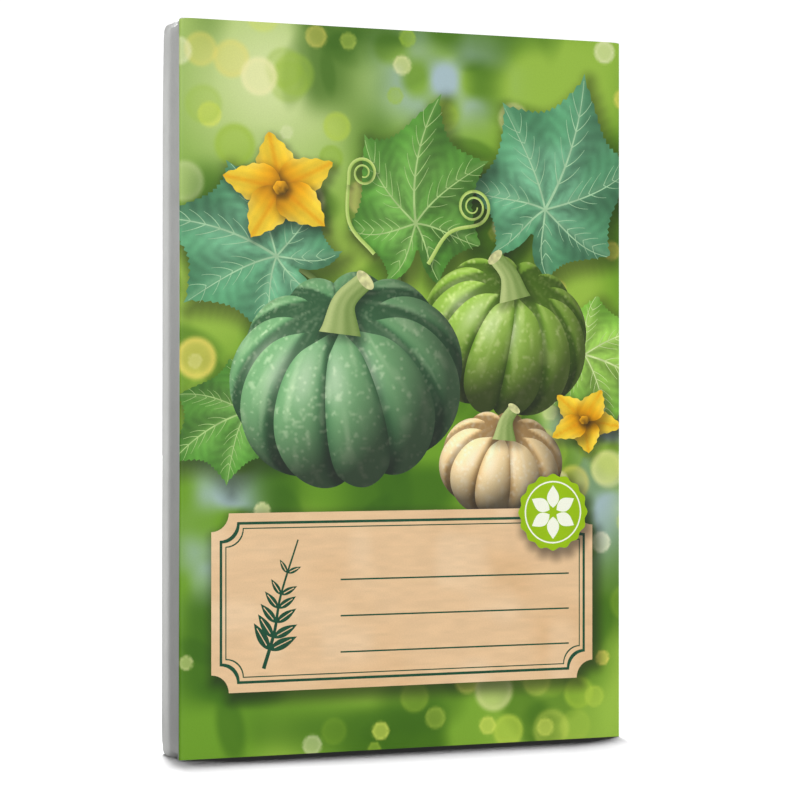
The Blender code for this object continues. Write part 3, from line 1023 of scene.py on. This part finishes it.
def makeSheet(name, outline, onto, gap, lines, material):
    # the drawn face, a plain back a little way into the board, and a rim between them
    film = frontPrint["film"]
    gap *= 1
    spots, faces = cutAlong([outline] + [layer["outline"] for layer in layers], lines, gap)
    middles = spots[faces].mean(1)
    owner = np.zeros(len(faces), int)
    for k, layer in enumerate(layers):
        owner[covered(middles, layer["outline"])] = k
    colours = inkColours(spots, faces, owner)

    sides = np.concatenate([faces[:, [0, 1]], faces[:, [1, 2]], faces[:, [2, 0]]])
    known = {(a, b) for a, b in sides.tolist()}
    follow = {a: b for a, b in known if (b, a) not in known}
    loop = [min(follow)]
    while follow[loop[-1]] != loop[0]:
        loop.append(follow[loop[-1]])
    loop = np.array(loop)

    rim = spots[loop]
    edges = [(i, (i + 1) % len(rim)) for i in range(len(rim))]
    behind = [Vector(spot) for spot in rim]
    for line in lines:
        edges += [(len(behind) + i, len(behind) + i + 1) for i in range(len(line) - 1)]
        behind += [Vector(spot) for spot in line]
    backSpots, backFaces = triangles(behind, edges, outline, 1e-5)
    backFaces = backFaces[:, ::-1]

    count = len(spots)
    match = {tuple(np.round(spot, 3)): i for i, spot in enumerate(backSpots)}
    behindLoop = np.array([match[tuple(np.round(spot, 3))] for spot in rim]) + count
    after, behindAfter = np.roll(loop, -1), np.roll(behindLoop, -1)
    allFaces = faces.tolist() + (backFaces + count).tolist()
    allFaces += np.c_[after, loop, behindLoop, behindAfter].tolist()
    allSpots = np.r_[onto(spots, film), onto(backSpots, -film / 2)]

    mesh = bpy.data.meshes.new(name)
    mesh.from_pydata(allSpots.tolist(), [], allFaces)
    ink = np.ones((len(mesh.loops), 4), np.float32)
    drawn = colours.reshape(-1, 3)
    ink[:len(drawn), :3] = toLinear(drawn)
    ink[len(drawn):, :3] = toLinear(hexColour("DEDFDC"))        # bare board
    mesh.color_attributes.new("ink", "FLOAT_COLOR", "CORNER").data.foreach_set("color", ink.ravel())
    drawnMap = ontoMap(spots, outline, sheetMap["drawn"])[faces]
    plainMap = ontoMap(backSpots, outline, sheetMap["plain"])[backFaces]
    (low, high), step = sheetMap["rim"], 1 / len(loop)
    rimMap = np.array([[(u + step, high), (u, high), (u, low), (u + step, low)]
                       for u in np.arange(len(loop)) / len(loop)])
    corners = np.r_[drawnMap.reshape(-1, 2), plainMap.reshape(-1, 2), rimMap.reshape(-1, 2)]
    mesh.uv_layers.new(name="OFBake").uv.foreach_set("vector", corners.astype(np.float32).ravel())
    mesh.materials.append(material)
    piece = newPiece(name, mesh)
    editAll(bpy.ops.mesh.normals_make_consistent, inside=False)
    bpy.ops.object.shade_smooth_by_angle(angle=math.radians(40))
    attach(piece, "root")
    print(name, len(mesh.polygons), "faces")


def drawFront():
    wide = sideFace / mm + 0.5         # a little more than the front
    layers.clear()
    addLayer(boxOf(-wide, 0, wide, packetTop / mm), makeGarden())
    for leaf in leaves:
        makeLeaf(*leaf)
    for squash in squashes:
        makeSquash(squash)
    for blossom in blossoms:
        makeBlossom(*blossom)
    for tendril in tendrils:
        makeTendril(*tendril)
    makeLabel()


def makeFront(material):
    drawFront()
    look = frontPrint
    half, top = sideFace / mm - look["fold"], packetTop / mm
    lines = []
    for step in (0, 0.25, 0.5, 0.75):
        high = top - lipDrop(step * wrapAt(top))
        line = np.array([(half + step * wrapAt(z), z) for z in np.linspace(0, high, 25)])
        lines += [line, line * [-1, 1]]
    makeSheet("front_print", frontOutline(), ontoFront, look["gap"], lines, material)


# the back: a pale panel with lines to write on and a calendar of twelve boxes a row
backPrint = {
    "gap": 0.85,
    "box": (-49.8, 6.4, 49.8, 153.6),
    "notch": 2.5,
    "paper": "F3ECD9",
    "shade": "E6DABB",
    "band": (131, 2.2, 62),  # the garden shows above this height, and its edge waves this high and long
    "tag": (0, 131, 10),
    "lines": [(-42, 42, z) for z in (112, 103, 94, 85)] + [(6, 42, z) for z in (32, 24, 16)],
    "months": {"left": -42, "foot": 48, "pitch": 7.06, "box": 6.3, "frame": 0.3, "mark": 0.9, "rowPitch": 8.2,
               "rows": [("3F7A52", (7, 8, 9)), ("F2B21C", (4, 5)), ("97BE0D", (2, 3, 4))]},
    "leaf": ([(-24, 24), (-30, 28), (-36, 30)], 17, 150, 0.3, 0.85, 8, "green"),
    "squash": {"place": (-20, 23), "radius": 15, "flat": 0.74, "tilt": 30, "turn": -8, "lobes": 11,
               "first": 0.2, "skin": "8FB447", "groove": "55801C", "fleck": "D8E79A", "seed": 95,
               "stalk": [(0, -1.2), (-0.5, 3), (-3, 6)], "stalkWidth": (6, 2.8)},
}


def paperPaint(points):
    return blend(backPrint["paper"], backPrint["shade"], ease(0.4, 0.9, cloud(points, 18, 91)) * 0.5)


def drawBack():
    look, months = backPrint, backPrint["months"]
    ground = boxOf(*look["box"], -1)         # a little more than the panel
    layers.clear()
    addLayer(ground, paperPaint)
    foot, wave, length = look["band"]
    x = np.linspace(ground[0, 0], ground[1, 0], 60)
    edge = np.c_[x, foot + wave * np.sin(x * 2 * math.pi / length)]
    addLayer(np.r_[edge, ground[2:]], makeGarden(), (0, -0.6, 1.4, 0.3))
    makeTag(*look["tag"])
    for line in look["lines"]:
        ruleLine(*line)
    for row, (tone, marked) in enumerate(months["rows"]):
        z = months["foot"] + row * months["rowPitch"]
        for month in range(12):
            x = months["left"] + month * months["pitch"]
            box = (x, z, x + months["box"], z + months["box"])
            addLayer(frameOf(boxOf(*box), boxOf(*box, months["frame"])), inkPaint)
            if month in marked:
                addLayer(boxOf(*box, months["mark"]), flatPaint(tone))
    makeLeaf(*look["leaf"])
    makeSquash(look["squash"])


def ontoBack(spots, out):
    # the drawing's x runs the other way round, as it is seen from behind
    return np.c_[-spots[:, 0], np.full(len(spots), backFace / mm + out), spots[:, 1]] * mm


def makeBack(material):
    drawBack()
    look = backPrint
    makeSheet("back_print", notchedBox(*look["box"], look["notch"]), ontoBack, look["gap"], [], material)


materials = {name: makeMaterial(**look) for name, look in finishes.items()}
makeCarton(materials["board"], materials["core"])
print("carton made")
makeFront(materials["print"])
makeBack(materials["print"])
print("front and back printed")

for name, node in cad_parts.items():
    kind = "glue" if name.endswith("glue") else "seed" if name.startswith("seed") else None
    if kind:
        node.data.materials.clear()
        node.data.materials.append(materials[kind])
print("glue and seeds finished")


# the studio: a white table, soft lamps and the camera

studio = {
    "table": 6.0,           # m along each side
    # suns: azimuth, 0 in front of the packet and 90 on its right, elevation, softness in degrees, strength
    "packetSuns": {
        "key": (-5, 18, 8, 3.03),
        "overhead": (157.5, 75, 20, 0.6),
        "right": (90, 15, 20, 1.2),
        "back": (180, 20, 20, 2.2),
    },
    # the table has its own, mostly from above and behind, for a short shadow that fades in steps
    "tableSuns": {
        "near": (170.8, 86.2, 3.5, 1.4),
        "wide": (140.4, 82.2, 5.5, 2.0),
        "low": (168.1, 60.0, 7, 2.5),
        "left": (-128, 40, 10, 0.4),
    },
    # soft boxes: one on the left, a narrow one beside the left side's rear half and a short one at
    # its foot. Spread is the beam's width in degrees, and levels its share of the power along the
    # box, from the foot up
    "boxes": {
        "left": {"place": (-0.203, 0.0, 0.15), "towards": (-0.053, 0.0, 0.13), "size": (0.02, 0.05),
                 "spread": 90, "watts": 0.018, "levels": [(0, 1), (1, 1)]},
        "edge": {"place": (-0.0568, 0.0034, 0.080), "towards": (0.0, 0.0034, 0.080),
                 "size": (0.0052, 0.160), "spread": 72, "watts": 0.0012,
                 "levels": [(0, 0.53), (0.07, 0.80), (0.21, 0.91), (0.48, 0.91),
                            (0.76, 0.68), (0.89, 0.56), (0.94, 0.38), (1, 0.42)]},
        "foot": {"place": (-0.0577, 0.0007, 0.0009), "towards": (-0.053, 0.0007, 0.0008),
                 "size": (0.0125, 0.0012), "spread": 90, "watts": 0.000014, "levels": [(0, 1), (1, 1)]},
    },
    "fill": 0.045,          # how bright the room is to all but the camera
    "backdrop": 1.1,        # and to the camera
}

camera = {
    "place": (-0.22635, frontFace - 0.5413, 0.0776),
    "yaw": -22.53,          # degrees about Z
    "lens": 118.4,          # mm
    "sensor": 36,           # mm
}


def addLamp(kind, name, place, aim, receivers):
    bpy.ops.object.light_add(type=kind, location=place)
    lampObject = bpy.context.object
    lampObject.name = name
    lampObject.rotation_euler = aim.to_track_quat("Z", "Y").to_euler()
    lampObject.light_linking.receiver_collection = receivers
    return lampObject


def addSun(name, receivers, azimuth, elevation, size, strength):
    a, e = math.radians(azimuth), math.radians(elevation)
    aim = Vector((math.sin(a) * math.cos(e), -math.cos(a) * math.cos(e), math.sin(e)))
    sun = addLamp("SUN", name, aim, aim, receivers).data
    sun.energy, sun.angle = strength, math.radians(size)


def addSoftBox(name, receivers, place, towards, size, spread, watts, levels):
    lampObject = addLamp("AREA", name, place, Vector(place) - Vector(towards), receivers)
    lampObject.visible_camera = False
    box = lampObject.data
    box.shape = "RECTANGLE"
    box.size, box.size_y = size
    box.spread = math.radians(spread)
    box.energy = watts
    box.use_nodes = True
    tree = box.node_tree
    across = addNode(tree, "ShaderNodeNewGeometry").outputs["Parametric"]
    along = addNode(tree, "ShaderNodeSeparateXYZ", links={"Vector": across}).outputs["Y"]
    level = addNode(tree, "ShaderNodeFloatCurve", None, {"Value": along}, {
        "Value": tree.nodes["Emission"].inputs["Strength"]})
    curve = level.mapping.curves[0]
    for index, point in enumerate(levels):
        if 0 < index < len(levels) - 1:
            curve.points.new(*point)
    curve.points[0].location, curve.points[-1].location = levels[0], levels[-1]
    for point in curve.points:
        point.handle_type = "VECTOR"
    level.mapping.update()


def makeStudio():
    bpy.ops.mesh.primitive_plane_add(size=studio["table"], location=(0, 0, cadBox[0][2]))
    table = bpy.context.object
    table.name = "table"
    table.data.materials.append(materials["table"])
    # two sets of lamps: one falls on the table alone, the other on all but the table
    onTable = bpy.data.collections.new("table_alone")
    offTable = bpy.data.collections.new("all_but_table")
    onTable.objects.link(table)
    offTable.objects.link(table)
    offTable.collection_objects[0].light_linking.link_state = "EXCLUDE"
    for name, look in studio["tableSuns"].items():
        addSun(name + "_table_sun", onTable, *look)
    for name, look in studio["packetSuns"].items():
        addSun(name + "_sun", offTable, *look)
    for name, look in studio["boxes"].items():
        addSoftBox(name + "_box", offTable, **look)
    world = bpy.context.scene.world = bpy.data.worlds.new("studio")
    world.use_nodes = True
    tree = world.node_tree
    background = tree.nodes["Background"].inputs
    background["Color"].default_value = (1, 1, 1, 1)
    seen = addNode(tree, "ShaderNodeLightPath").outputs["Is Camera Ray"]
    addNode(tree, "ShaderNodeMapRange", {"To Min": studio["fill"], "To Max": studio["backdrop"]}, {
        "Value": seen}, {"Result": background["Strength"]})


def makeCamera():
    data = bpy.data.cameras.new("camera")
    data.lens = camera["lens"]
    data.sensor_width = camera["sensor"]
    data.clip_start = 0.01
    eye = bpy.data.objects.new("camera", data)
    bpy.context.scene.collection.objects.link(eye)
    eye.location = camera["place"]
    eye.rotation_euler = (math.pi / 2, 0, math.radians(camera["yaw"]))
    bpy.context.scene.camera = eye


makeStudio()
makeCamera()
bpy.context.scene.view_settings.view_transform = "Standard"
bpy.context.scene.cycles.diffuse_bounces = 0
print("studio set")
